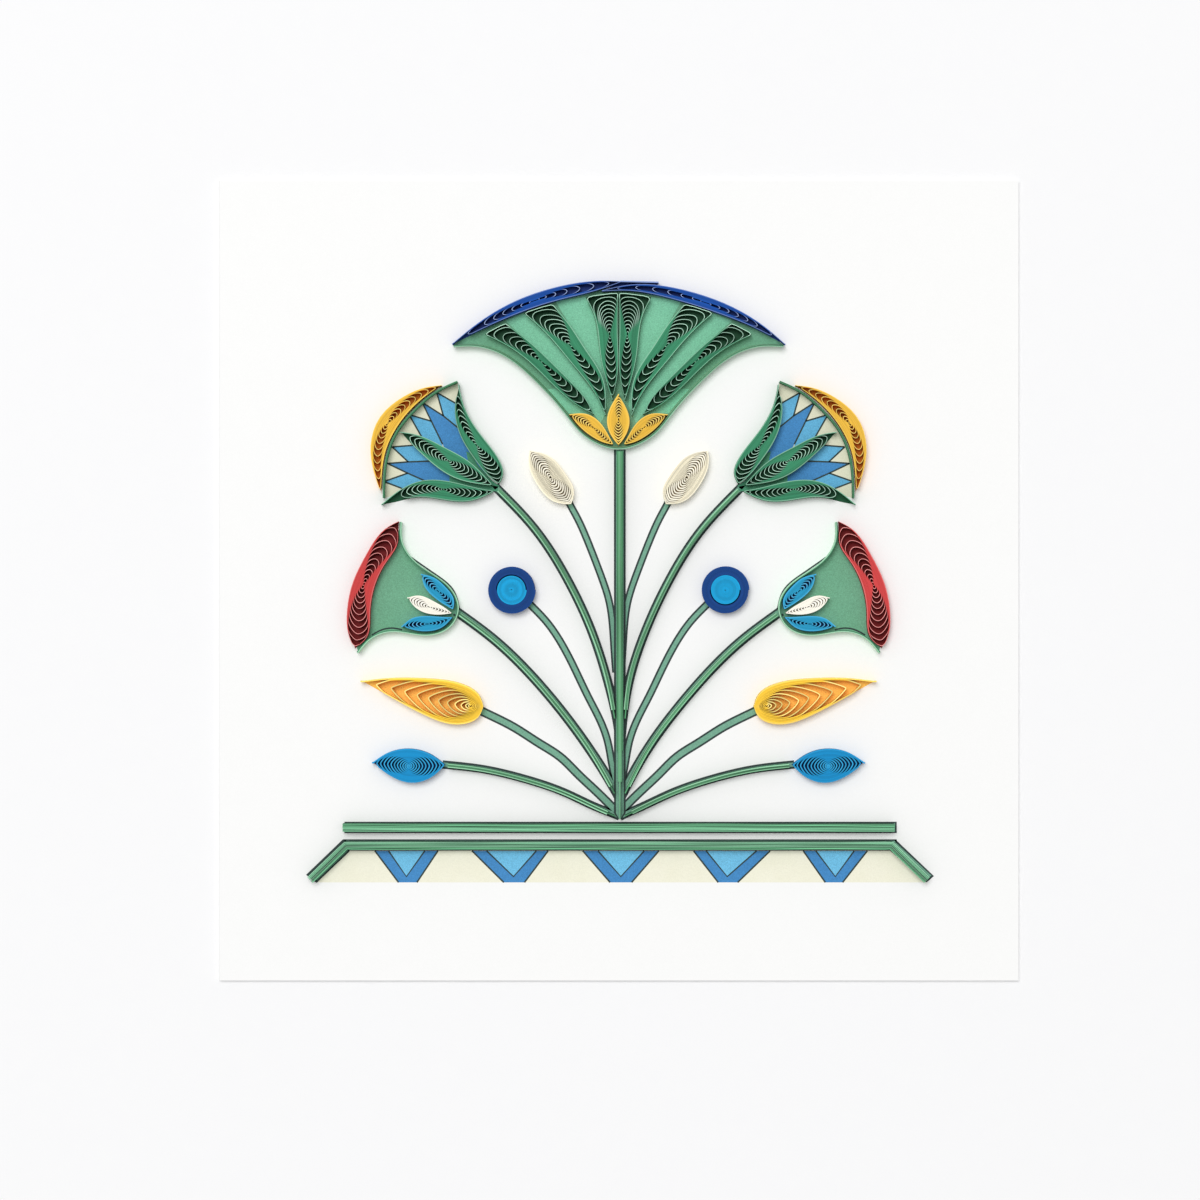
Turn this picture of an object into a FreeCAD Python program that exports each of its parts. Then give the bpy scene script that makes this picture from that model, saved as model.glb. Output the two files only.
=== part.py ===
import FreeCAD, Part
import math
import os

# A square greeting card with a bouquet of quilled paper on its front: strips of paper stand
# on edge on the card, rolled into coils and pinched, or glued side by side into stems and bars.
# The card lies on its back. X runs to the right of the picture, Y to its top, and Z out of
# the card's front. The origin is under the middle of the card.

# Card
card_side = 152.4
leaf_thickness = 0.4
leaf_gap = 0.3

# Paper strips: their height above the card, and the thickness of one ply with its glue
strip_height = 2.4
ply = 0.2

# The outlines of the coils and the lines of the stems are drawn in units of this length
drawing_unit = 1.0

# Coils: how far a pinched tip stays solid, how fast the turns close up towards the eye,
# and how long the bow of a turn is against its half width
tip_solid = 0.9
turn_spread = 1.35
round_bow = 0.9
sharp_bow = 1.5
bow_shoulder = 0.6
least_reach = 0.15
tiny = 1e-6

# Curved edges are cut into facets of about these lengths
facet_length = 3.0
stem_facet_length = 6.5
least_facets = 4
roll_facets = 24
bore_facets = 6

# Strips that outline a flower, and stems of plies glued side by side, which end one by one
outline_plies = 2
stem_plies = 3
stem_ply = 0.28
ply_step = 1.6
glue_line = 0.02
foot_clearance = 0.05

# Middle stem
middle_stem_plies = 4
middle_stem_x = 0.2
middle_stem_top_gap = 0.35
middle_stem_foot = -45.3

# Round coils: an inner roll wrapped in a roll of another colour
round_coil_x = 20.3
round_coil_y = -1.8
round_coil_radius = 4.55
inner_roll_radius = 2.85
inner_roll_bore = 0.2
roll_clearance = 0.02

# Base bars
bar_plies = 6
bar_pitch = 0.28
bar_ply = 0.25
upper_bar_half_length = 52.4
upper_bar_y = -47.0
lower_bar_y = -50.4
lower_bar_half_length = 51.8
lower_bar_leg = 9.4
lower_bar_leg_angle = 44.0

face_z = 2 * leaf_thickness + leaf_gap
PAPYRUS_FOOT = (0, 25.05)
LEFT = -1
RIGHT = 1
SIDES = {"left": LEFT, "right": RIGHT}


def vector(x, y):
    """A point on the card's front."""
    return FreeCAD.Vector(x, y, face_z)


def smooth(points):
    """A smooth curve through a few points."""
    curve = Part.BSplineCurve()
    curve.interpolate([vector(x, y) for x, y in points])
    return curve


def along(curve, share):
    """The point at a share of the curve's length."""
    share = min(max(share, 0.0), 1.0)
    return curve.value(curve.parameterAtDistance(share * curve.length(), curve.FirstParameter))


def facets(curve, size=facet_length):
    """How many straight runs stand for a curve."""
    return least_facets + round(curve.length() / size)


def closed(corners):
    return Part.makePolygon([*corners, corners[0]])


def raised(wires):
    """A solid as high as the strips, from an outline and the holes in it."""
    face = Part.makeFace(wires, "Part::FaceMakerBullseye")
    return face.extrude(FreeCAD.Vector(0, 0, strip_height))


def drawn(points, side):
    """Points drawn for the left half of the bouquet, in millimetres and on the side asked for."""
    return [(-side * x * drawing_unit, y * drawing_unit) for x, y in points]


class Coil:
    """A strip rolled into a coil and shaped with the fingers.

    Two edges run from its start to its end. The start is a pinched tip, or two corners where
    the coil is pressed flat. Turns are packed along both edges, and spread apart towards the
    ends, so crescent gaps open between them on either side of the eye.
    """

    def __init__(self, side, start, edge_a, edge_b, end, turns, eye=0.5, lean=(0.5, 0.5),
                 rounded=(False, False)):
        start = drawn(start, side)
        end = drawn([end], side)[0]
        self.edge_a = smooth([start[0], *drawn(edge_a, side), end])
        self.edge_b = smooth([start[-1], *drawn(edge_b, side), end])
        self.pressed = start[0] != start[-1]
        self.turns = turns
        self.eye = eye
        self.lean = lean
        self.rounded = rounded
        self.length = (self.edge_a.length() + self.edge_b.length()) / 2

    def spine(self, share):
        """The line through the eye that the gaps lie on, and the two edges beside it."""
        a = along(self.edge_a, share)
        b = along(self.edge_b, share)
        lean = self.lean[0] + (self.lean[1] - self.lean[0]) * share
        return a, a + (b - a) * lean, b

    def share(self, end, distance):
        """A distance from one end, as a share of the coil's length."""
        share = distance / self.length
        return share if end == 0 else 1 - share

    def room(self, end):
        """The distance from one end to the eye."""
        return self.length * (self.eye if end == 0 else 1 - self.eye)

    def spots(self, share, plies, part=1.0):
        """The points that lie a number of plies in from each edge, or a part of the way there."""
        line = self.spine(share)
        line_eye = self.spine(self.eye)
        found = []
        for edge in (0, 2):
            across = line[edge] - line[1]
            width = max(across.Length, tiny)
            pitch = (line_eye[edge] - line_eye[1]).Length / (max(self.turns) + 1)
            reach = max(width - max(plies * pitch, ply), least_reach * width) * part
            found.append(line[1] + across * (reach / width))
        return found

    def bow(self, end, distance, plies):
        """The end of a turn: its two shoulders where it is round, and its point where it isn't."""
        share = self.share(end, distance)
        if self.rounded[end]:
            return self.spots(share, plies, bow_shoulder)
        return [self.spine(share)[1]]

    def gap(self, end, outer, inner, plies):
        """The crescent between two turns whose bows lie at these distances from one end."""
        a, b = self.spots(self.share(end, inner), plies)
        reach = (a - b).Length / 2 * (round_bow if self.rounded[end] else sharp_bow)
        wings = self.spots(self.share(end, min(inner + reach, self.room(end) - ply)), plies)
        if end == 0 and self.pressed and plies == 1:
            outer_bow = self.spots(self.share(end, outer), plies)
        else:
            outer_bow = self.bow(end, outer, plies)
        inner_bow = self.bow(end, inner, plies)
        return closed([wings[0], *outer_bow, wings[1], *reversed(inner_bow)])

    def gaps(self):
        """All the crescents, closer together towards the eye."""
        wires = []
        for end, count in enumerate(self.turns):
            first = 0 if end == 0 and self.pressed else tip_solid
            tips = [first + (self.room(end) - first) * (1 - (1 - k / (count + 1)) ** turn_spread)
                    for k in range(count + 1)]
            for k in range(count):
                wires.append(self.gap(end, tips[k] + ply, tips[k + 1], k + 1))
        return wires

    def solid(self):
        count = facets(self.edge_a)
        row_a = [along(self.edge_a, i / count) for i in range(count + 1)]
        row_b = [along(self.edge_b, i / count) for i in range(0 if self.pressed else 1, count)]
        return raised([closed([*row_a, *reversed(row_b)]), *self.gaps()])


def strip(path, offset, thickness, count, end=1.0):
    """A strip on edge, set off sideways from a path, that ends at a share of its length."""
    rows = ([], [])
    for i in range(count + 1):
        share = end * i / count
        where = path.parameterAtDistance(share * path.length(), path.FirstParameter)
        run = path.tangent(where)[0]
        across = FreeCAD.Vector(-run.y, run.x, 0)
        rows[0].append(path.value(where) + across * (offset - thickness / 2))
        rows[1].append(path.value(where) + across * (offset + thickness / 2))
    return raised([closed([*rows[0], *reversed(rows[1])])])


def outline_strip(side, points):
    """Plies glued to each other and bent round a flower."""
    path = smooth(drawn(points, side))
    return strip(path, 0, outline_plies * ply, facets(path))


def stem(side, points, foot_y):
    """Plies glued side by side along a curve, down to a foot beside the middle stem.

    The outer plies end first at the foot.
    """
    pitch = stem_ply + glue_line
    foot_x = (stem_plies + middle_stem_plies) * pitch / 2 + foot_clearance
    foot = (middle_stem_x + side * foot_x, foot_y * drawing_unit)
    path = smooth([*drawn(points, side), foot])
    solids = []
    for i in range(stem_plies):
        rank = i - (stem_plies - 1) / 2
        end = 1 - ply_step * abs(rank) / path.length()
        count = facets(path, stem_facet_length)
        solids.append(strip(path, rank * pitch, stem_ply, count, end))
    return Part.makeCompound(solids)


def bent_strip(points, offset, width):
    """A strip along straight runs, set off sideways from the line that they follow."""
    line = [vector(x, y) for x, y in points]
    runs = [(line[i + 1] - line[i]).normalize() for i in range(len(line) - 1)]
    rows = ([], [])
    for i, point in enumerate(line):
        before = runs[max(i - 1, 0)]
        after = runs[min(i, len(runs) - 1)]
        across = FreeCAD.Vector(-before.y - after.y, before.x + after.x, 0).normalize()
        mitre = across.dot(FreeCAD.Vector(-after.y, after.x, 0))
        rows[0].append(point + across * ((offset - width / 2) / mitre))
        rows[1].append(point + across * ((offset + width / 2) / mitre))
    return raised([closed([*rows[0], *reversed(rows[1])])])


def bundle(points, count, pitch, thickness):
    """Separate plies side by side along straight runs."""
    offsets = [(i - (count - 1) / 2) * pitch for i in range(count)]
    return Part.makeCompound([bent_strip(points, offset, thickness) for offset in offsets])


def card():
    """The folded card: two leaves and the round fold between them, along its left edge."""
    half = card_side / 2
    middle_z = face_z / 2
    fold_x = -half + middle_z
    inner_fold_x = fold_x - leaf_gap / 2
    front_inside_z = face_z - leaf_thickness

    def at(x, z):
        return FreeCAD.Vector(x, -half, z)

    profile = [
        Part.makeLine(at(half, 0), at(fold_x, 0)),
        Part.Arc(at(fold_x, 0), at(-half, middle_z), at(fold_x, face_z)).toShape(),
        Part.makeLine(at(fold_x, face_z), at(half, face_z)),
        Part.makeLine(at(half, face_z), at(half, front_inside_z)),
        Part.makeLine(at(half, front_inside_z), at(fold_x, front_inside_z)),
        Part.Arc(at(fold_x, front_inside_z), at(inner_fold_x, middle_z),
                 at(fold_x, leaf_thickness)).toShape(),
        Part.makeLine(at(fold_x, leaf_thickness), at(half, leaf_thickness)),
        Part.makeLine(at(half, leaf_thickness), at(half, 0)),
    ]
    return Part.Face(Part.Wire(profile)).extrude(FreeCAD.Vector(0, card_side, 0))


def papyrus():
    """The fan-shaped head over the middle stem."""
    parts = {}
    left_crescent = Coil(
        LEFT, [(-31.6, 44.9)],
        [(-28, 47.9), (-20, 52.9), (-12, 55.7), (-4, 56.9)],
        [(-26, 47.6), (-18, 51.0), (-10, 53.5), (-4, 55.05)],
        (1.0, 56.8), turns=(5, 5), eye=0.48)
    loose_end = bent_strip(drawn([(0.3, 56.78), (7.6, 56.6)], LEFT), 0, ply)
    parts["left_sky_crescent"] = left_crescent.solid().fuse(loose_end).removeSplitter()
    parts["right_sky_crescent"] = Coil(
        RIGHT, [(-31.7, 44.8)],
        [(-28, 48.0), (-20, 52.7), (-12, 55.3), (-8, 56.05), (-3, 56.25)],
        [(-26, 47.8), (-18, 50.95), (-10, 53.45), (-2, 54.95)],
        (4.4, 54.75), turns=(5, 4), eye=0.42)
    for name, side in SIDES.items():
        parts[name + "_inner_fan_coil"] = Coil(
            side, [(-0.15, 54.6), (-6.3, 53.9)],
            [(-0.15, 46), (-0.2, 39)],
            [(-4.5, 50.1), (-3.5, 43.3), (-2.0, 36.8)],
            (-1.2, 34.3), turns=(5, 4), eye=0.43, lean=(0.35, 0.5), rounded=(True, False))
        parts[name + "_middle_fan_coil"] = Coil(
            side, [(-12.6, 52.5), (-18.0, 50.8)],
            [(-9.1, 48.3), (-5.9, 43.5), (-2.9, 38.3)],
            [(-14, 47.2), (-9.1, 41.5), (-4.1, 34.9)],
            (-2.5, 31.4), turns=(5, 4), eye=0.38, lean=(0.55, 0.45), rounded=(True, False))
        parts[name + "_outer_fan_coil"] = Coil(
            side, [(-21.5, 48.8), (-25.5, 46.8)],
            [(-16, 44.5), (-10, 38.7), (-6, 34.1)],
            [(-20, 43.9), (-14, 38.7), (-8, 33.4)],
            (-4.7, 31.6), turns=(5, 4), eye=0.42, lean=(0.4, 0.5), rounded=(True, False))
        parts[name + "_yellow_petal"] = Coil(
            side, [(-9.3, 31.5)],
            [(-6, 31.6), (-3.4, 29.9), (-1.85, 27.5)],
            [(-7.9, 29.6), (-5, 27.15), (-2.6, 26.05)],
            (-0.9, 25.75), turns=(3, 2))
    parts["middle_yellow_petal"] = Coil(
        LEFT, [(0, 35.4)],
        [(-1.5, 33.0), (-2.25, 30.4), (-1.5, 27.6)],
        [(1.5, 33.0), (2.25, 30.4), (1.5, 27.6)],
        (0, 25.6), turns=(3, 2))
    left_half = [(-31.3, 44.45), (-27, 44.5), (-22, 42.9), (-16, 38.2), (-10, 31.6), (-7.2, 28.2),
                 (-3.8, 25.95)]
    right_half = [(-x, y) for x, y in reversed(left_half)]
    parts["papyrus_outline"] = outline_strip(LEFT, [*left_half, PAPYRUS_FOOT, *right_half])
    return parts


def lotus(name, side):
    """A lotus flower on its side: three sepals, a yellow rim and the strip along its mouth."""
    parts = {}
    parts[name + "_upper_sepal"] = Coil(
        side, [(-30.35, 37.2)],
        [(-29.4, 33.3), (-26.2, 27.8), (-22.9, 23.4), (-21.9, 20.4)],
        [(-31.2, 33.0), (-29.9, 26.9), (-27.2, 22.7), (-24.4, 19.5)],
        (-22.75, 18.25), turns=(4, 4), eye=0.58, lean=(0.65, 0.4), rounded=(False, True))
    parts[name + "_middle_sepal"] = Coil(
        side, [(-41.45, 28.2)],
        [(-38.4, 27.7), (-33.2, 25.4), (-28.3, 22.6), (-24.9, 19.3)],
        [(-40, 26.5), (-36.8, 23.3), (-31.5, 19.5), (-26.2, 18.2)],
        (-23.7, 17.95), turns=(5, 5), eye=0.52, lean=(0.45, 0.45))
    parts[name + "_lower_sepal"] = Coil(
        side, [(-45.05, 14.4)],
        [(-41.9, 16.95), (-37.7, 18.9), (-32.4, 18.9), (-27.0, 17.65)],
        [(-43, 14.75), (-38.4, 15.7), (-33, 15.15), (-27.9, 15.05)],
        (-23.4, 17.0), turns=(5, 5), eye=0.55, lean=(0.45, 0.45))
    parts[name + "_yellow_rim"] = Coil(
        side, [(-33.6, 37.05)],
        [(-36.8, 36.6), (-41.5, 34.5), (-45.4, 30.9), (-47.1, 25.5), (-46.4, 20.3)],
        [(-36.75, 34.8), (-40.1, 31.6), (-42.5, 28.2), (-44.15, 24.5), (-44.85, 20.5)],
        (-45.1, 16.4), turns=(4, 4), eye=0.46)
    parts[name + "_mouth_strip"] = outline_strip(
        side, [(-30.6, 37.75), (-34.7, 35.75), (-38.2, 32.85), (-42.1, 28.2), (-44.1, 22.85),
               (-44.6, 15.7)])
    parts[name + "_lotus_stem"] = stem(
        side, [(-22.75, 17.15), (-16, 9.9), (-10, 0.7), (-5.1, -9.7), (-2.0, -19.4)], -26.2)
    return parts


def red_flower(name, side):
    """A red-edged flower: three petals inside a green outline, and a red crescent."""
    parts = {}
    parts[name + "_red_rim"] = Coil(
        side, [(-41.8, 11.2), (-41.8, 6.6)],
        [(-44.1, 9.95), (-48, 4.8), (-50.4, -0.1), (-51.6, -6), (-51.3, -10.2)],
        [(-44.0, 3.4), (-46.4, -1.8), (-47.1, -6.5), (-47.7, -10.7)],
        (-50.15, -12.95), turns=(4, 4), eye=0.52)
    parts[name + "_upper_blue_petal"] = Coil(
        side, [(-37.5, 1.2)],
        [(-35.0, 0.55), (-32.75, -1.25), (-31.2, -3.6)],
        [(-36.95, -1.25), (-35, -3.4), (-33.0, -4.75)],
        (-31.4, -5.6), turns=(3, 3))
    parts[name + "_white_petal"] = Coil(
        side, [(-40.1, -3.3)],
        [(-37.85, -2.85), (-35.2, -3.85), (-33.0, -5.1)],
        [(-38.6, -5.25), (-36.2, -6.4), (-33.5, -6.55)],
        (-31.5, -6.25), turns=(3, 3))
    parts[name + "_lower_blue_petal"] = Coil(
        side, [(-41.2, -8.75)],
        [(-39.3, -7.2), (-36.2, -6.7), (-33.5, -6.85)],
        [(-39.6, -9.35), (-36.6, -9.8), (-33.4, -9.0)],
        (-31.4, -6.9), turns=(3, 3))
    parts[name + "_flower_outline"] = outline_strip(
        side, [(-41.35, 11.1), (-41.25, 7.5), (-38.75, 3.55), (-34.9, 0.85), (-31.6, -2.1),
               (-30.55, -5.6), (-32.2, -8.8), (-36.6, -10.3), (-43.0, -9.6), (-47.0, -10.9),
               (-49.6, -13.7)])
    parts[name + "_flower_stem"] = stem(
        side, [(-30.1, -6.45), (-24, -11), (-18, -16.6), (-12, -23.4), (-6, -31.4)], -40.4)
    return parts


def ring(side, radius, count):
    """A round edge about the middle of a round coil."""
    centre = vector(side * round_coil_x, round_coil_y)
    turn = 2 * math.pi / count
    return closed([centre + FreeCAD.Vector(math.cos(i * turn), math.sin(i * turn), 0) * radius
                   for i in range(count)])


def buds(name, side):
    """The small coils between the flowers, and the stem of the lowest one."""
    parts = {}
    parts[name + "_white_bud"] = Coil(
        side, [(-16.9, 24.7)],
        [(-17.1, 22.2), (-15.6, 18.3), (-12.2, 14.9)],
        [(-13.4, 23.9), (-9.9, 20.2), (-8.4, 17.0)],
        (-9.0, 14.5), turns=(3, 3), rounded=(True, True))
    parts[name + "_yellow_bud"] = Coil(
        side, [(-49.0, -19.15)],
        [(-44, -18.55), (-36, -18.55), (-30, -19.45), (-26.6, -21.6)],
        [(-45.5, -21.1), (-36.5, -25.9), (-30, -27.5), (-26.7, -26.1)],
        (-25.75, -23.9), turns=(6, 0), eye=0.8)
    parts[name + "_blue_bud"] = Coil(
        side, [(-46.8, -34.65)],
        [(-43.8, -32.7), (-40, -31.9), (-35.8, -32.9)],
        [(-43.6, -37.1), (-39.2, -38.6), (-35.4, -37.4)],
        (-32.9, -35.0), turns=(3, 3))
    parts[name + "_bud_stem"] = stem(
        side, [(-32.4, -35.15), (-26, -35.9), (-18, -37.75), (-10, -40.5), (-4.4, -43.1)],
        -44.7)
    wrap_bore = inner_roll_radius + roll_clearance
    parts[name + "_inner_roll"] = raised([ring(side, inner_roll_radius, roll_facets),
                                          ring(side, inner_roll_bore, bore_facets)])
    parts[name + "_outer_roll"] = raised([ring(side, round_coil_radius, roll_facets),
                                          ring(side, wrap_bore, roll_facets)])
    return parts


def stem_and_bars():
    """The straight middle stem and the two bars that the bouquet stands on."""
    leg = math.radians(lower_bar_leg_angle)
    foot_x = lower_bar_half_length + lower_bar_leg * math.cos(leg)
    foot_y = lower_bar_y - lower_bar_leg * math.sin(leg)
    papyrus_foot_y = PAPYRUS_FOOT[1] * drawing_unit
    stem_top = papyrus_foot_y - outline_plies * ply / 2 - middle_stem_top_gap
    return {
        "middle_stem": bundle([(middle_stem_x, stem_top), (middle_stem_x, middle_stem_foot)],
                              middle_stem_plies, stem_ply + glue_line, stem_ply),
        "upper_bar": bundle([(-upper_bar_half_length, upper_bar_y),
                             (upper_bar_half_length, upper_bar_y)], bar_plies, bar_pitch, bar_ply),
        "lower_bar": bundle([(-foot_x, foot_y), (-lower_bar_half_length, lower_bar_y),
                             (lower_bar_half_length, lower_bar_y), (foot_x, foot_y)],
                            bar_plies, bar_pitch, bar_ply),
    }


def build():
    parts = {"card": card(), **papyrus(), **stem_and_bars()}
    for name, side in SIDES.items():
        parts.update(lotus(name, side))
        parts.update(red_flower(name, side))
        parts.update(buds(name, side))
    return parts


os.makedirs("parts", exist_ok=True)
for node, shape in build().items():
    solid = shape.solid() if isinstance(shape, Coil) else shape
    solid.exportStep("parts/" + node + ".step")
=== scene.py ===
import bpy
import math
import random
import numpy as np
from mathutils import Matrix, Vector


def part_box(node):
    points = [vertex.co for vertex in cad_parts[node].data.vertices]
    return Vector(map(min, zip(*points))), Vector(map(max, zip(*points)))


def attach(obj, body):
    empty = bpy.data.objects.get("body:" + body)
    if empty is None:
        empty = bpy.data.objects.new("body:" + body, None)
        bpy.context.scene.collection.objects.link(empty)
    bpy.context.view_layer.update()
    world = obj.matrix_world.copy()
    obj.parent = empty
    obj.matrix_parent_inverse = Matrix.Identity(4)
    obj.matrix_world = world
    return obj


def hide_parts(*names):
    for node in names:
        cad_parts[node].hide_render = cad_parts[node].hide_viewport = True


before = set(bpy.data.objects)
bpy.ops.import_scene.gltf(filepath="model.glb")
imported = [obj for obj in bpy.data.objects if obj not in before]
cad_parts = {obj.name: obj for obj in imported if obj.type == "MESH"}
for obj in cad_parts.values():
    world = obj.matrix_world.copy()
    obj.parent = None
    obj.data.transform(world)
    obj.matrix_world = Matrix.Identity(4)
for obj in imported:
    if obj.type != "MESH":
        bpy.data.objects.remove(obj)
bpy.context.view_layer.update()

# A square folded card with a bouquet of quilled paper on its front. Lengths are written in
# millimetres and put into metres where a mesh is made. X runs to the right of the card, Y to
# its top, and Z out of its front. The left half is drawn, and the right half mirrors it.
MM = 0.001
LEFT = -1
RIGHT = 1
SIDES = {"left": LEFT, "right": RIGHT}
face_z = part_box("card")[1].z / MM
strip_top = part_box("upper_bar")[1].z / MM

# How finely lines are drawn
turn_samples = 56
line_samples = 240

# The bend of a turn: the room it needs to stand alone, its width there, and how long it is
# against its half width
loose_gap = 0.25
loop_edge = 0.11
least_width = 0.1
pointed_bow = 1.9
round_bow = 1.1
inner_bow = 0.95

# The end of a coil that is pressed flat
pressed_turns = 1.3
pressed_room = 0.8
pressed_power = 4.0
pressed_slant = 0.35
# Share of the length at the pressed end that gets a darker ink: painted shade in its corners
pressed_shade = 0.14
corner_length = 0.7

# The turns of a coil: where the strip stops short of the eye, the room left there, and tones; the
# first turn's tone is a painted highlight on the outermost turn
inner_end = 0.45
eye_room = 0.3
first_turn_highlight = 1.3
outer_turn_highlight = 0.4
top_wander = 0.06
loose_end_ply = 0.24
loose_end_highlight = 0.75

# Round coils
outer_roll_turns = 9
inner_roll_turns = 14
roll_fill = 0.9
roll_gap = 0.03
roll_bore = 0.1
print_under_roll = 0.1

# Plies side by side, and the two waves in which they wander
long_wave = 9
short_wave = 3.7
short_wave_share = 0.6
wave_tone = 0.5
stem_plies = 3
stem_pitch = 0.26
stem_ply = 0.21
# How far each ply's top edge is lightened: painted highlight
stem_highlights = (0.6, 0.0, 0.4)
middle_stem_plies = 5
middle_stem_pitch = 0.24
middle_stem_highlights = (0.0, 0.1, 0.25, 0.1, 0.0)
ply_step = 4.7
middle_ply_step = 25
bar_plies = 6
bar_pitch = 0.25
bar_ply = 0.18
bar_rise = 0.06
outline_ply = 0.17
outline_highlights = (0.0, 0.9)
outline_lean = 0.35

# Where a stem meets the middle stem, and how far its print runs on under both ends
middle_stem_x = 0.25
foot_offset = 0.98
hidden_print = 1.1
print_inset = 0.35

# Printed ink: each layer lies a little higher than the one before
ink_rise = 0.012
# The gap and corner inks under the coils, mostly darkened as painted shade
gap_layer = 6
corner_shade_layer = 7
line_width = 0.3
stem_line_width = 0.4
bud_line_width = 0.36

# Floor, light and camera: lengths in metres, apart from the view
floor_half = 1.5
lamp_size = 1.8
lamp_power = 86
lamp_place = (-0.6, 1.0, 3.6)
sky_strength = 0.5
nearest_seen = 0.05
view_width = 228.6
view_middle = (-3.52, -3.71)
lens = 100.0
sensor = 36.0

random.seed(4)


# Lines and outlines

def mirror(points, side):
    """Points drawn for the left half, on the side asked for."""
    return [(x if side == LEFT else -x, y) for x, y in points]


def natural_cubic(marks, knots, fine):
    """The natural cubic spline through the knots, at the marks asked for."""
    count = len(marks)
    steps = np.diff(marks)
    slopes = np.diff(knots, axis=0) / steps[:, None]
    system = np.eye(count)
    pull = np.zeros_like(knots)
    for i in range(1, count - 1):
        system[i, i - 1:i + 2] = steps[i - 1], 2 * (steps[i - 1] + steps[i]), steps[i]
        pull[i] = 6 * (slopes[i] - slopes[i - 1])
    bends = np.linalg.solve(system, pull)
    i = np.clip(np.searchsorted(marks, fine) - 1, 0, count - 2)
    step = steps[i][:, None]
    left = (marks[i + 1] - fine)[:, None]
    right = (fine - marks[i])[:, None]
    return ((bends[i] * left ** 3 + bends[i + 1] * right ** 3) / (6 * step)
            + (knots[i] / step - bends[i] * step / 6) * left
            + (knots[i + 1] / step - bends[i + 1] * step / 6) * right)


class Curve:
    """A smooth line through a few points, measured along its length."""

    def __init__(self, points):
        knots = np.array(points, float)
        steps = np.linalg.norm(np.diff(knots, axis=0), axis=1)
        marks = np.concatenate([[0.0], np.cumsum(steps)])
        self.line = natural_cubic(marks, knots, np.linspace(0, marks[-1], line_samples))
        runs = np.linalg.norm(np.diff(self.line, axis=0), axis=1)
        self.marks = np.concatenate([[0.0], np.cumsum(runs)])
        self.length = self.marks[-1]

    def at(self, share):
        """The points at these shares of the length."""
        where = np.clip(share, 0, 1) * self.length
        return np.stack([np.interp(where, self.marks, self.line[:, i]) for i in (0, 1)], -1)

    def evenly(self, count):
        """So many points at even steps from end to end."""
        return self.at(np.linspace(0, 1, count))


def sideways(line):
    """The direction across a line, at each of its points."""
    ahead = np.gradient(line, axis=0)
    ahead /= np.maximum(np.linalg.norm(ahead, axis=1, keepdims=True), 1e-9)
    return np.stack([-ahead[:, 1], ahead[:, 0]], -1)


# Meshes

class Build:
    """Corners and faces that become one piece."""

    def __init__(self):
        self.corners = []
        self.faces = []
        self.slots = []
        self.shade = []
        self.bow = []

    def add(self, corners, faces, slot=0, shade=0.0, bow=0.0):
        """More corners and faces, with the tone of each corner and how far its top edge is
        lightened as painted highlight.
        """
        base = len(self.corners)
        self.corners += [tuple(corner) for corner in corners]
        self.faces += [tuple(base + i for i in face) for face in faces]
        self.slots += [int(value) for value in np.broadcast_to(slot, len(faces))]
        self.shade += list(np.broadcast_to(shade, len(corners)))
        self.bow += list(np.broadcast_to(bow, len(corners)))

    def piece(self, name, materials, slot, *nodes):
        """Makes the object, which rides on the card and stands for these CAD nodes."""
        mesh = bpy.data.meshes.new(name)
        mesh.from_pydata((np.array(self.corners) * MM).tolist(), [], self.faces)
        for material in materials:
            mesh.materials.append(material)
        mesh.polygons.foreach_set("material_index", self.slots)
        for label, values in (("shade", self.shade), ("bow", self.bow)):
            mesh.attributes.new(label, "FLOAT", "POINT").data.foreach_set("value", values)
        mesh.validate()
        thing = bpy.data.objects.new(name, mesh)
        bpy.context.scene.collection.objects.link(thing)
        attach(thing, "root")
        if nodes:
            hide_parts(*nodes)


def ribbon(build, line, thickness, top=None, edge_slot=0, shade=0.0, bow=0.0, lean=0.0):
    """A strip of paper on edge that follows a line; its foot stands aside by the lean."""
    count = len(line)
    across = sideways(line)
    half = across * (np.broadcast_to(thickness, count) / 2)[:, None]
    foot = line + across * lean
    high = np.broadcast_to(strip_top if top is None else top, count)
    low = np.full(count, face_z)
    rows = [(foot - half, low), (line - half, high), (line + half, high), (foot + half, low)]
    corners = np.concatenate([np.column_stack([flat, z]) for flat, z in rows])
    faces = [(row * count + i, row * count + i + 1, (row + 1) % 4 * count + i + 1,
              (row + 1) % 4 * count + i) for row in range(4) for i in range(count - 1)]
    faces.append(tuple(row * count for row in range(4)))
    faces.append(tuple(row * count + count - 1 for row in reversed(range(4))))
    slots = np.zeros(len(faces), int)
    slots[count - 1:2 * (count - 1)] = edge_slot
    build.add(corners, faces, slots, np.tile(np.broadcast_to(shade, count), 4),
              np.tile(np.broadcast_to(bow, count), 4))


def slab(build, outline, low, high):
    """A thin plate with this outline."""
    outline = np.array(outline, float)
    spin = np.roll(outline, -1, axis=0)
    if np.sum(outline[:, 0] * spin[:, 1] - spin[:, 0] * outline[:, 1]) < 0:
        outline = outline[::-1]
    count = len(outline)
    corners = [(x, y, low) for x, y in outline] + [(x, y, high) for x, y in outline]
    faces = [tuple(range(count, 2 * count)), tuple(reversed(range(count)))]
    faces += [(i, (i + 1) % count, (i + 1) % count + count, i + count) for i in range(count)]
    build.add(corners, faces)


# Colours and materials

def colour(code):
    """A colour written as red, green and blue in hexadecimal, in linear light."""
    parts = [int(code[i:i + 2], 16) / 255 for i in (0, 2, 4)]
    return tuple(p / 12.92 if p <= 0.04045 else ((p + 0.055) / 1.055) ** 2.4
                 for p in parts) + (1.0,)


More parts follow.
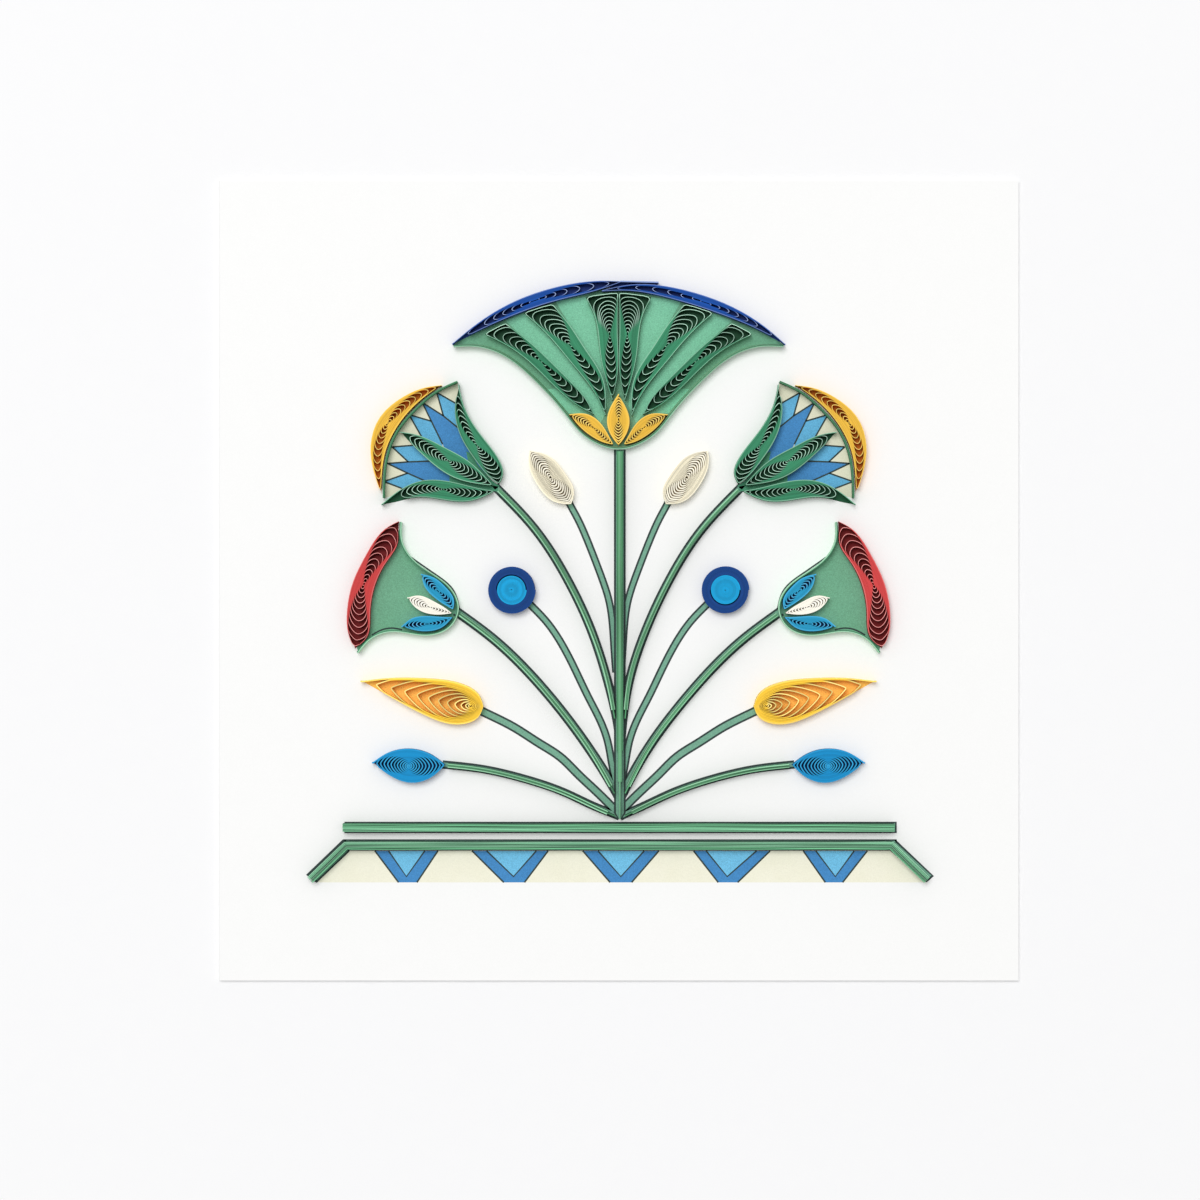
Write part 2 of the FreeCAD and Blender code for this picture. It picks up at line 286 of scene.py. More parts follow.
def new_group(name, inputs, outputs):
    """An empty node group with these sockets, and its two end nodes."""
    group = bpy.data.node_groups.new(name, "ShaderNodeTree")
    for label, kind in inputs:
        group.interface.new_socket(label, in_out="INPUT", socket_type=kind)
    for label, kind in outputs:
        group.interface.new_socket(label, in_out="OUTPUT", socket_type=kind)
    return group, group.nodes.new("NodeGroupInput"), group.nodes.new("NodeGroupOutput")


def node(tree, kind, **values):
    """A node with some of its settings given by name."""
    made = tree.nodes.new(kind)
    for key, value in values.items():
        setattr(made, key, value)
    return made


def feed(tree, target, key, source):
    """Links a socket to an input, or sets the input to a value."""
    if isinstance(source, bpy.types.NodeSocket):
        tree.links.new(source, target.inputs[key])
    else:
        target.inputs[key].default_value = source


def blend(tree, share, one, two):
    """One colour turned into another by a share."""
    mix = node(tree, "ShaderNodeMix", data_type="RGBA")
    feed(tree, mix, 0, share)
    feed(tree, mix, 6, one)
    feed(tree, mix, 7, two)
    return mix.outputs[2]


def maths(tree, operation, *values, clamp=False):
    """The result of a sum, a product or a comparison."""
    made = node(tree, "ShaderNodeMath", operation=operation, use_clamp=clamp)
    for i, value in enumerate(values):
        feed(tree, made, i, value)
    return made.outputs[0]


def noise(tree, size, detail, roughness=0.6):
    """Soft random spots of about this size, in millimetres."""
    place = tree.nodes.new("ShaderNodeTexCoord")
    scale = tree.nodes.new("ShaderNodeMapping")
    scale.inputs["Scale"].default_value = [1 / (size * MM)] * 3
    spots = tree.nodes.new("ShaderNodeTexNoise")
    spots.inputs["Scale"].default_value = 1.0
    spots.inputs["Detail"].default_value = detail
    spots.inputs["Roughness"].default_value = roughness
    tree.links.new(place.outputs["Object"], scale.inputs["Vector"])
    tree.links.new(scale.outputs["Vector"], spots.inputs["Vector"])
    return spots.outputs["Fac"]


def brighten(tree, base, amount):
    """A colour made lighter or darker by an amount that changes over the surface."""
    tone = tree.nodes.new("ShaderNodeHueSaturation")
    feed(tree, tone, "Color", base)
    feed(tree, tone, "Value", maths(tree, "ADD", amount, 1.0))
    return tone.outputs["Color"]


def quilling_group():
    """Dyed strip paper: walls, packed edges and lone loops in colours of painted light and shade,
    and the tone of each turn.
    """
    group, start, end = new_group(
        "quilling paper",
        [("Wall", "NodeSocketColor"), ("Edge", "NodeSocketColor"), ("Loop highlight", "NodeSocketColor"),
         ("Turn tone", "NodeSocketFloat"), ("Fibre tone", "NodeSocketFloat")],
        [("Colour", "NodeSocketColor"), ("Height", "NodeSocketFloat")])
    bow = node(group, "ShaderNodeAttribute", attribute_name="bow").outputs["Fac"]
    shade = node(group, "ShaderNodeAttribute", attribute_name="shade").outputs["Fac"]
    facing = group.nodes.new("ShaderNodeSeparateXYZ")
    geometry = group.nodes.new("ShaderNodeNewGeometry")
    group.links.new(geometry.outputs["Normal"], facing.inputs[0])
    # Faces turned up take the edge colour and the rest the wall colour, as lit and shaded copies
    # of one paper: painted light and shade. Lone bends take the paler loop colour, a painted
    # highlight.
    upwards = 0.6
    top = maths(group, "GREATER_THAN", facing.outputs["Z"], upwards)
    edge = blend(group, bow, start.outputs["Edge"], start.outputs["Loop highlight"])
    base = blend(group, top, start.outputs["Wall"], edge)
    fibres = noise(group, 0.35, detail=5.0, roughness=0.7)
    spots = maths(group, "SUBTRACT", fibres, 0.5)
    tone = maths(group, "ADD", maths(group, "MULTIPLY", shade, start.outputs["Turn tone"]),
                 maths(group, "MULTIPLY", spots, start.outputs["Fibre tone"]))
    group.links.new(brighten(group, base, tone), end.inputs["Colour"])
    group.links.new(fibres, end.inputs["Height"])
    return group


def ink_group():
    """Ink on smooth card: it takes unevenly, and the fibres under it show."""
    group, start, end = new_group(
        "printed ink",
        [("Ink", "NodeSocketColor"), ("Thin ink", "NodeSocketColor"),
         ("Mottle", "NodeSocketFloat"), ("Grain", "NodeSocketFloat")],
        [("Colour", "NodeSocketColor"), ("Height", "NodeSocketFloat")])
    clouds = noise(group, 4.0, detail=2.0)
    fibres = noise(group, 0.2, detail=2.0)
    share = maths(group, "MULTIPLY", clouds, start.outputs["Mottle"], clamp=True)
    base = blend(group, share, start.outputs["Ink"], start.outputs["Thin ink"])
    spots = maths(group, "MULTIPLY", maths(group, "SUBTRACT", fibres, 0.5),
                  start.outputs["Grain"])
    group.links.new(brighten(group, base, spots), end.inputs["Colour"])
    group.links.new(fibres, end.inputs["Height"])
    return group


quilling = quilling_group()
printing = ink_group()


def material(name, group, values, roughness, bump, glow=0.0):
    """A material whose colour and grain come from one of the groups."""
    made = bpy.data.materials.new(name)
    made.use_nodes = True
    tree = made.node_tree
    shader = tree.nodes["Principled BSDF"]
    shader.inputs["Roughness"].default_value = roughness
    shader.inputs["Specular IOR Level"].default_value = 0.25
    shader.inputs["Subsurface Weight"].default_value = glow
    shader.inputs["Subsurface Radius"].default_value = (0.8, 0.6, 0.3)
    shader.inputs["Subsurface Scale"].default_value = 0.5 * MM
    surface = node(tree, "ShaderNodeGroup", node_tree=group)
    for key, value in values.items():
        surface.inputs[key].default_value = value
    grain = tree.nodes.new("ShaderNodeBump")
    grain.inputs["Strength"].default_value = bump
    grain.inputs["Distance"].default_value = 0.02 * MM
    tree.links.new(surface.outputs["Height"], grain.inputs["Height"])
    tree.links.new(grain.outputs["Normal"], shader.inputs["Normal"])
    tree.links.new(surface.outputs["Colour"], shader.inputs["Base Color"])
    return made


def paper(name, wall, edge, loop, turn_tone=0.1, glow=0.0):
    """Strip paper: the colours of its walls, of its packed edges and of its lone bends, which
    differ as painted light and shade; the lone bends' colour is a painted highlight.
    """
    return material(name, quilling, {
        "Wall": colour(wall), "Edge": colour(edge), "Loop highlight": colour(loop),
        "Turn tone": turn_tone, "Fibre tone": 0.22}, roughness=0.75, bump=0.35, glow=glow)


def ink(name, full, thin, mottle, grain=0.9):
    """Printed ink: its colours where it lies full and where it lies thin."""
    return material(name, printing, {
        "Ink": colour(full), "Thin ink": colour(thin), "Mottle": mottle, "Grain": grain},
        roughness=0.62, bump=0.12)


# Walls and top edges of one paper differ as painted light and shade: most walls are darker, as
# shade deep in the gaps, and the pale green outline walls are paler, as lit outer walls. The
# third colour is a painted highlight on lone bends and bright plies.
green_paper = paper("green quilling paper", "0F6C40", "368460", "B0D8C2", 0.26)
rim_paper = paper("olive green strip paper", "4A8A62", "3E7A54", "7CBC92", 0.16)
outline_paper = paper("pale green strip paper", "A4DCB4", "3C7E5A", "A4D4B4", 0.16)
stem_paper = paper("stem green quilling paper", "1F5E3C", "529668", "A8DCB8", 0.3)
bar_paper = paper("bar green quilling paper", "1A5C3A", "66AC80", "A4DCBA", 0.3)
bud_paper = paper("deep sky blue quilling paper", "0D70A8", "0C8AC4", "2FA0D4", 0.16)
petal_paper = paper("sky blue quilling paper", "1C8CC8", "2297C1", "5AB4E0", 0.14)
roll_paper = paper("bright sky blue quilling paper", "1494D4", "13A1D8", "9AD4F2", 0.16)
royal_paper = paper("royal blue quilling paper", "173F92", "0E4CA2", "A4B8E8", 0.14)
navy_paper = paper("navy quilling paper", "143C80", "0F4185", "4A70B4", 0.14)
yellow_paper = paper("yellow quilling paper", "F0A42C", "ECBC42", "F8DC78", 0.16)
orange_paper = paper("yellow and orange quilling paper", "FFCC60", "FACA3C", "FFE68A", 0.24)
lit_orange_paper = paper("orange paper with light behind", "FFC45C", "F4C440", "FFE68A",
                         glow=0.8)
lit_white_paper = paper("white paper with light behind", "FFF0D0", "F4EEDC", "FCF6E6",
                        glow=0.5)
red_paper = paper("red quilling paper", "A81E22", "CC4242", "F09C98", 0.14)
cream_paper = paper("cream quilling paper", "FFF4DC", "EDE5CA", "F8F2DE", 0.2)
white_paper = paper("white quilling paper", "FFF6E0", "FBF7EA", "FFFCF2", 0.04)

dark_line_ink = ink("dark line ink", "283A38", "364642", 0.5)
cream_ink = ink("cream ink", "EFEDD6", "F8F6E6", 0.7, 0.2)
lotus_cream_ink = ink("lotus cream ink", "E2E0C4", "EFEDD8", 0.7, 0.2)
light_blue_ink = ink("light blue ink", "5CADD8", "70BEE4", 0.5)
band_blue_ink = ink("light blue band ink", "6ABAE2", "7CCAEC", 0.5)
mid_blue_ink = ink("mid blue ink", "3D84C0", "4894CE", 0.5)
fan_green_ink = ink("light green ink", "7CC8A4", "8ED4B2", 0.5)
field_green_ink = ink("mid green ink", "6AA685", "78B492", 0.5)
sepal_green_ink = ink("sepal green ink", "479470", "54A07C", 0.5)
stem_green_ink = ink("stem green ink", "70A48C", "80B69C", 0.5)
card_ink = ink("white card stock", "F7F7F6", "F9F9F8", 0.8, 0.06)
# Ink under the coils, seen down the gaps between turns. The green, blue, sky blue, red, brown and
# tan inks are darker than their paper as painted shade deep in the gaps; the orange is the
# paper's own colour.
gap_and_shade_inks = {
    "gap_green": ink("green gap ink with painted shade", "0A4C2C", "105836", 0.8),
    "corner_green": ink("green corner ink with painted shade", "084426", "0E4E30", 0.8),
    "gap_blue": ink("blue gap ink with painted shade", "12327E", "1A3E90", 0.8),
    "gap_sky": ink("sky blue gap ink with painted shade", "0A3C7C", "10488C", 0.8),
    "gap_brown": ink("brown gap ink with painted shade", "C8760E", "D4841A", 0.8),
    "gap_orange": ink("orange ink", "FFC456", "FFD06A", 0.8),
    "gap_red": ink("red gap ink with painted shade", "780C10", "881418", 0.8),
    "gap_tan": ink("tan gap ink with painted shade", "E8CE9A", "F0DAAC", 0.8),
}


# Printed fields and lines

class Prints:
    """Everything printed on the card's front, with the ink of painted shade under the coils, one
    piece for each ink.
    """

    def __init__(self):
        self.builds = {}

    def field(self, label, outline, layer=1):
        """A flat field of ink."""
        build = self.builds.setdefault(label, Build())
        slab(build, outline, face_z, face_z + layer * ink_rise)

    def line(self, label, points, width=line_width, layer=4, bend=False):
        """A line of ink along straight runs, or bent smoothly through its points."""
        line = Curve(points).evenly(40) if bend else np.array(points, float)
        across = sideways(line) * (width / 2)
        self.field(label, np.concatenate([line - across, (line + across)[::-1]]), layer)


prints = Prints()


# Coils

def bend(distance, reach, power):
    """How far a turn has opened at a distance from its tip, from 0 to 1."""
    share = np.clip(distance / np.maximum(reach, 1e-6), 0, 1)
    return (1 - (1 - share) ** power) ** (1 / power)


class Coil:
    """A strip rolled into a coil and shaped with the fingers.

    Two edges run from its start to its end. The start is a pinched tip, or two corners where
    the coil is pressed flat. The turns lie packed along both edges. Towards each end they
    spread apart: the first tips stand at these distances from the ends, after so many turns
    that lie packed there, and the later ones close up towards the eye. The bows say how long
    the end of the outermost turn is against its half width, tight how much less room a packed
    turn takes at the ends than at the eye, and fill how much of that room the strip takes in
    the outermost and in the innermost turn. Loose says how far the bends at each end stand
    alone as thin lines.
    """

    def __init__(self, side, start, edge_a, edge_b, end, turns, eye=0.5, lean=(0.5, 0.5),
                 first=(2.3, 2.3), packed=(1, 1), spread=(1.4, 1.4),
                 bows=(pointed_bow, pointed_bow), power=(1.8, 1.8), tight=0.6, fill=(1.0, 1.0),
                 loop=loop_edge, loose=(1, 1)):
        start = mirror(start, side)
        end = mirror([end], side)[0]
        self.edges = (Curve([start[0], *mirror(edge_a, side), end]),
                      Curve([start[-1], *mirror(edge_b, side), end]))
        self.length = sum(edge.length for edge in self.edges) / 2
        self.turns = turns
        self.eye = eye
        self.lean = lean
        self.pressed = start[0] != start[-1]
        self.bows = bows
        self.power = power
        self.tight = tight
        self.fill = fill
        self.loop = loop
        self.loose = loose
        self.first = first
        self.packed = packed
        self.spread = spread

    def spine(self, share):
        """The line through the eye, and the ways from it to the two edges."""
        a, b = (edge.at(share) for edge in self.edges)
        lean = np.asarray(self.lean[0] + (self.lean[1] - self.lean[0]) * share)[..., None]
        middle = a + (b - a) * lean
        return middle, a - middle, b - middle

    def tip(self, end, rank):
        """The share of the length where the turn of this rank has its tip."""
        room = self.length * (self.eye if end == 0 else 1 - self.eye)
        packed = self.packed[end]
        first = self.first[end]
        part = np.clip((rank - packed) / (self.turns - packed), 0, 1)
        far = first + (room - first) * (1 - (1 - part) ** self.spread[end])
        share = np.where(rank < packed, first * rank / packed, far) / self.length
        return share if end == 0 else 1 - share

    def tightness(self, share):
        """The room that a packed turn takes, against its room at the eye."""
        near = np.where(share < self.eye, share / self.eye, (1 - share) / (1 - self.eye))
        return self.tight + (1 - self.tight) * near

    def strip(self):
        """The middle line of the strip, its thickness, how far its top edge is lightened as
        painted highlight, and its rank.

        On a coil that is pressed flat, half a turn more closes the outline.
        """
        start = -0.5 if self.pressed else 0.0
        rank = np.linspace(start, self.turns - inner_end, int(self.turns * turn_samples))
        angle = 2 * np.pi * (rank % 1)
        rank = np.maximum(rank, 0)
        tips = self.tip(0, rank), self.tip(1, rank)
        share = tips[0] + (tips[1] - tips[0]) * (1 - np.cos(angle)) / 2
        on_a = angle < np.pi
        middle, to_a, to_b = self.spine(share)
        out = np.where(on_a[:, None], to_a, to_b)
        width = np.linalg.norm(out, axis=1)
        eye_widths = [np.linalg.norm(way) for way in self.spine(np.float64(self.eye))[1:]]
        eye_pitch = np.where(on_a, *eye_widths) / (self.turns + eye_room)
        pitch = eye_pitch * self.tightness(share)
        reach = np.maximum(width - (rank + 0.5) * pitch, least_width * width)
        opened = np.ones_like(reach)
        for end in (0, 1):
            bow = self.bows[end] + (inner_bow - self.bows[end]) * rank / self.turns
            ways = self.spine(tips[end])[1:]
            tip_width = np.where(on_a, *(np.linalg.norm(way, axis=1) for way in ways))
            taken = rank * eye_pitch * self.tightness(tips[end])
            room = np.maximum(tip_width - taken, least_width * tip_width) * bow
            power = self.power[end]
            distance = np.abs(share - tips[end]) * self.length
            if end == 0 and self.pressed:
                room *= 1 + pressed_slant * np.where(on_a, -1, 1)
                flat = np.clip(1 - rank / pressed_turns, 0, 1)
                room *= 1 - pressed_room * flat
                power += (pressed_power - power) * flat
                edge_alone = flat * np.clip(2 - distance / corner_length, 0, 1)
            opened *= bend(distance, room, power)
        # Lone bends, and the pressed edge near its corners, take a paler top edge: painted
        # highlight
        alone = np.clip(reach * (1 - opened) / loose_gap, 0, 1)
        alone *= np.where(share < self.eye, *self.loose)
        if self.pressed:
            alone = np.maximum(alone, edge_alone)
        line = middle + out / np.maximum(width, 1e-9)[:, None] * (reach * opened)[:, None]
        packed = pitch * (self.fill[0] + (self.fill[1] - self.fill[0]) * rank / self.turns)
        thickness = packed + (self.loop - packed) * alone
        outermost = rank < start + 1
        # The outermost turn's top edge is lightened too: painted highlight
        pale = np.maximum(alone, outer_turn_highlight * outermost)
        return line, thickness, pale, rank

    def outline(self, reach=1.0, count=48, inset=0.1):
        """The coil's outline as far as a share of its length, drawn in a little."""
        share = np.linspace(0, reach, count)
        middle, to_a, to_b = self.spine(share)
        rows = []
        for way in (to_a, to_b):
            width = np.maximum(np.linalg.norm(way, axis=1), 1e-9)
            rows.append(middle + way * (np.maximum(width - inset, 0) / width)[:, None])
        return np.concatenate([rows[0], rows[1][::-1]])


def turn_tones(rank):
    """A tone for each turn, and slow changes along it."""
    tones = np.array([random.uniform(-1, 1) for _ in range(int(rank.max()) + 3)])
    # The outermost turn is made lighter: painted highlight on its lit outer edge
    tones[0] = first_turn_highlight
    return np.interp(rank, np.arange(len(tones)), tones)


def coil_piece(name, coil, papers, slot, gap, loose_end=None):
    """The coil's strip with its loose end, and ink under its turns, mostly darker than the paper
    as painted shade in the gaps.

    Of two papers, the first is for the walls and the second for the top edge.
    """
    build = Build()
    line, thickness, pale, rank = coil.strip()
    tones = turn_tones(rank)
    top = strip_top - top_wander * (0.5 + 0.5 * tones)
    ribbon(build, line, thickness, top, len(papers) - 1, tones, pale)
    if loose_end:
        # The loose end's top edge is lightened: painted highlight
        ribbon(build, Curve(loose_end).evenly(12), loose_end_ply, bow=loose_end_highlight)
    # Ink under the whole coil, darkened in most colours as painted shade seen down the gaps
    prints.field("gap_" + gap, coil.outline(), gap_layer)
    # Darker ink at the pressed end: painted shade in the corners of the flat top
    if coil.pressed:
        prints.field("corner_" + gap, coil.outline(pressed_shade), corner_shade_layer)
    build.piece(name + "_turns", papers, slot, name)


# Papyrus head

def crescents():
    """Two long blue coils along the top. The left one's loose end lies on the right one."""
    crescent_bows = (3.2, 3.2)
    coil_piece("left_sky_crescent", Coil(
        LEFT, [(-31.6, 44.9)],
        [(-28, 47.9), (-20, 52.9), (-12, 55.7), (-4, 56.9)],
        [(-26, 47.6), (-18, 51.0), (-10, 53.5), (-4, 55.05)],
        (1.0, 56.8), 8, eye=0.52, first=(7.3, 1.4), packed=(2, 1), spread=(1.1, 1.4),
        bows=crescent_bows),
        [royal_paper], "blue_strip", "blue", [(0.3, 56.78), (7.6, 56.6)])
    # Dark blue ink where the card lies deep between the loose end and the right coil: painted
    # shade
    prints.field("gap_blue", [(-2.8, 55.2), (0.2, 56.8), (7.4, 56.6), (7.4, 56.1), (3, 56.1),
                              (0.2, 55.6), (-2.2, 54.9)], layer=5)
    coil_piece("right_sky_crescent", Coil(
        RIGHT, [(-31.7, 44.8)],
        [(-28, 48.0), (-20, 52.7), (-12, 55.3), (-8, 56.05), (-3, 56.25)],
        [(-26, 47.8), (-18, 50.95), (-10, 53.45), (-2, 54.95)],
        (4.4, 54.75), 8, eye=0.46, first=(6.5, 2.5), packed=(2, 1), spread=(1.1, 1.4),
        bows=crescent_bows),
        [royal_paper], "blue_strip", "blue")


def fan(name, side):
    """Three green coils with flat tops, and the outer yellow petal."""
    fan_bows = (round_bow, pointed_bow)
    coil_piece(name + "_inner_fan_coil", Coil(
        side, [(-0.15, 54.6), (-6.3, 53.9)],
        [(-0.15, 46), (-0.2, 39)],
        [(-4.5, 50.1), (-3.5, 43.3), (-2.0, 36.8)],
        (-1.2, 34.3), 11, eye=0.39, lean=(0.35, 0.5),
        first=(0.6, 1.9), spread=(1.05, 1.45), bows=fan_bows,
        tight=0.45), [green_paper], "green_strip", "green")
    coil_piece(name + "_middle_fan_coil", Coil(
        side, [(-12.6, 52.5), (-18.0, 50.8)],
        [(-9.1, 48.3), (-5.9, 43.5), (-2.9, 38.3)],
        [(-14, 47.2), (-9.1, 41.5), (-4.1, 34.9)],
        (-2.5, 31.4), 10, eye=0.38, lean=(0.55, 0.45),
        first=(0.6, 2.1), spread=(1.3, 1.3), bows=fan_bows,
        tight=0.45), [green_paper], "green_strip", "green")
    coil_piece(name + "_outer_fan_coil", Coil(
        side, [(-21.5, 48.8), (-25.5, 46.8)],
        [(-16, 44.5), (-10, 38.7), (-6, 34.1)],
        [(-20, 43.9), (-14, 38.7), (-8, 33.4)],
        (-4.7, 31.6), 10, eye=0.42, lean=(0.4, 0.5),
        first=(0.6, 2.5), spread=(1.4, 1.2), bows=fan_bows,
        tight=0.45), [green_paper], "green_strip", "green")
    coil_piece(name + "_yellow_petal", Coil(
        side, [(-9.3, 31.5)],
        [(-6, 31.6), (-3.4, 29.9), (-1.85, 27.5)],
        [(-7.9, 29.6), (-5, 27.15), (-2.6, 26.05)],
        (-0.9, 25.75), 9, first=(0.8, 0.8), spread=(1.1, 1.1), tight=0.9, loop=0.2),
        [yellow_paper], "yellow_strip", "brown")


def middle_petal():
    coil_piece("middle_yellow_petal", Coil(
        LEFT, [(0, 35.4)],
        [(-1.5, 33.0), (-2.25, 30.4), (-1.5, 27.6)],
        [(1.5, 33.0), (2.25, 30.4), (1.5, 27.6)],
        (0, 25.6), 9, first=(0.8, 0.8), spread=(1.1, 1.1), tight=0.9, loop=0.2),
        [yellow_paper], "yellow_strip", "brown")


def papyrus_outline():
    """The strip round the foot of the head, and the green fields behind its coils."""
    left_half = [(-31.3, 44.45), (-27, 44.5), (-22, 42.9), (-16, 38.2), (-10, 31.6),
                 (-7.2, 28.2), (-3.8, 25.95)]
    right_half = [(-x, y) for x, y in reversed(left_half)]
    path = Curve([*left_half, (0, 25.05), *right_half])
    build = Build()
    plies(build, path.evenly(160), 2, outline_ply, outline_ply, lean=outline_lean,
          pale=outline_highlights[::-1])
    build.piece("papyrus_outline_strip", [outline_paper], "green_strip", "papyrus_outline")

    mouth = [(-31.5, 44.9), (-28.8, 46.6), (-26, 47.95), (-18, 51.5), (-10, 54.0), (-4, 55.5),
             (0, 55.7)]
    foot = path.evenly(60)
    top = Curve([*mouth, *mirror(reversed(mouth[:-1]), RIGHT)]).evenly(60)
    prints.field("field_green", np.concatenate([top, foot[::-1]]))
    for side in SIDES.values():
        prints.field("fan_green", mirror(
            [(-12.0, 53.2), (-6.3, 54.0), (-4.6, 50.2), (-3.6, 43.4), (-2.3, 36.8), (-1.9, 33.2),
             (-2.6, 32.0), (-4.2, 35.0), (-3.0, 38.4), (-6.0, 43.5), (-9.1, 48.3)], side),
            layer=2)
        prints.field("fan_green", mirror(
            [(-21.6, 49.5), (-17.8, 51.0), (-14, 47.2), (-9.1, 41.5), (-4.1, 34.9),
             (-2.6, 31.6), (-3.4, 30.0), (-6.2, 33.9), (-10, 38.7), (-16, 44.5)], side),
            layer=2)
        prints.field("fan_green", mirror(
            [(-10.4, 31.9), (-14, 36.4), (-12, 36.6), (-8, 33.4), (-4.7, 31.6), (-7, 31.8)],
            side), layer=2)


def papyrus_head():
    crescents()
    for name, side in SIDES.items():
        fan(name, side)
    middle_petal()
    papyrus_outline()


# Plies side by side

def plies(build, line, count, pitch, thickness, ends=0.0, lean=0.0, wander=0.0,
          lit=(0.0, 0.2), pale=None):
    """Strips glued side by side along a line.

    The outer ones may end first, and those that were glued less evenly wander a little and
    stand a little higher or lower. How far their top edges are lightened, as painted highlight,
    is drawn by lot, or given for each.
    """
    across = sideways(line)
    runs = np.linalg.norm(np.diff(line, axis=0), axis=1)
    marks = np.concatenate([[0.0], np.cumsum(runs)])
    for i in range(count):
        rank = i - (count - 1) / 2
        keep = marks <= marks[-1] - abs(rank) * pitch * ends + 1e-6
        start = random.uniform(0, 6)
        sway = (np.sin(marks / long_wave + start)
                + short_wave_share * np.sin(marks / short_wave + 2 * start))
        offset = rank * pitch + wander * sway
        tone = random.uniform(-1, 1) + wave_tone * sway
        ribbon(build, (line + across * offset[:, None])[keep], thickness,
               strip_top - top_wander * random.random(), shade=tone[keep],
               bow=pale[i] if pale else random.choice(lit), lean=lean)


def stem(name, side, points, foot_y, width):
    """A curved stem: printed lines on both sides of plies that run down to the middle stem."""
    foot = (middle_stem_x + side * foot_offset, foot_y)
    path = Curve([*mirror(points, side), foot])
    build = Build()
    plies(build, path.evenly(90), stem_plies, stem_pitch, stem_ply, ply_step,
          wander=0.015, pale=stem_highlights)
    build.piece(name + "_plies", [stem_paper], "green_strip", name)
    near = 0.02
    top, below, above, end = path.at(np.array([0.0, near, 1 - near, 1.0]))
    before = top + (top - below) / np.linalg.norm(top - below) * hidden_print
    inner = end - (side * print_inset, 0)
    after = inner + (end - above) * (middle_stem_x - inner[0]) / (end - above)[0]
    printed_stem([tuple(before), *mirror(points, side), tuple(inner), tuple(after)], width,
                 stem_line_width)


def straight_runs(points, step=1.2):
    """Many points along straight runs, so that a strip may wander between them."""
    rows = []
    for start, end in zip(points, points[1:]):
        count = max(2, round(math.dist(start, end) / step))
        rows.append(np.linspace(start, end, count, endpoint=False))
    return np.concatenate([*rows, [points[-1]]])


def printed_stem(points, width, edge=bud_line_width):
    """A stem in flat print: green between two dark lines."""
    prints.line("dark_line", points, width, layer=2, bend=True)
    prints.line("stem_green", points, width - 2 * edge, layer=3, bend=True)


# Lotus flowers

def sepals(name, side):
    coil_piece(name + "_upper_sepal", Coil(
        side, [(-30.35, 37.2)],
        [(-29.4, 33.3), (-26.2, 27.8), (-22.9, 23.4), (-21.9, 20.4)],
        [(-31.2, 33.0), (-29.9, 26.9), (-27.2, 22.7), (-24.4, 19.5)],
        (-22.75, 18.25), 11, eye=0.58, lean=(0.65, 0.4),
        first=(2.3, 0.9), spread=(1.3, 1.3), bows=(pointed_bow, round_bow), tight=0.7),
        [green_paper], "green_strip", "green")
    coil_piece(name + "_middle_sepal", Coil(
        side, [(-41.45, 28.2)],
        [(-38.4, 27.7), (-33.2, 25.4), (-28.3, 22.6), (-24.9, 19.3)],
        [(-40, 26.5), (-36.8, 23.3), (-31.5, 19.5), (-26.2, 18.2)],
        (-23.7, 17.95), 12, eye=0.52, lean=(0.45, 0.45), first=(2.3, 1.2), spread=(1.4, 1.4),
        tight=0.75),
        [green_paper], "green_strip", "green")
    coil_piece(name + "_lower_sepal", Coil(
        side, [(-45.05, 14.4)],
        [(-41.9, 16.95), (-37.7, 18.9), (-32.4, 18.9), (-27.0, 17.65)],
        [(-43, 14.75), (-38.4, 15.7), (-33, 15.15), (-27.9, 15.05)],
        (-23.4, 17.0), 11, eye=0.55, lean=(0.45, 0.45), first=(4.4, 1.0), spread=(1.4, 1.3),
        tight=0.75),
        [green_paper], "green_strip", "green")


def lotus(name, side):
    """Sepals, the rim and the strip along the mouth, with the print between them."""
    sepals(name, side)
    coil_piece(name + "_yellow_rim", Coil(
        side, [(-33.6, 37.05)],
        [(-36.8, 36.6), (-41.5, 34.5), (-45.4, 30.9), (-47.1, 25.5), (-46.4, 20.3)],
        [(-36.75, 34.8), (-40.1, 31.6), (-42.5, 28.2), (-44.15, 24.5), (-44.85, 20.5)],
        (-45.1, 16.4), 12, eye=0.48, first=(1.3, 2.2), spread=(1.5, 1.5)),
        [yellow_paper], "yellow_strip", "brown")

    mouth = mirror([(-30.6, 37.75), (-34.7, 35.75), (-38.2, 32.85), (-42.1, 28.2),
                    (-44.1, 22.85), (-44.6, 15.7)], side)
    build = Build()
    plies(build, Curve(mouth).evenly(80), 2, outline_ply, outline_ply)
    build.piece(name + "_mouth_strip_plies", [rim_paper], "green_strip",
                name + "_mouth_strip")
    lotus_print(mouth, side)
    stem(name + "_lotus_stem", side,
         [(-22.75, 17.15), (-16, 9.9), (-10, 0.7), (-5.1, -9.7), (-2.0, -19.4)], -26.2, 1.75)


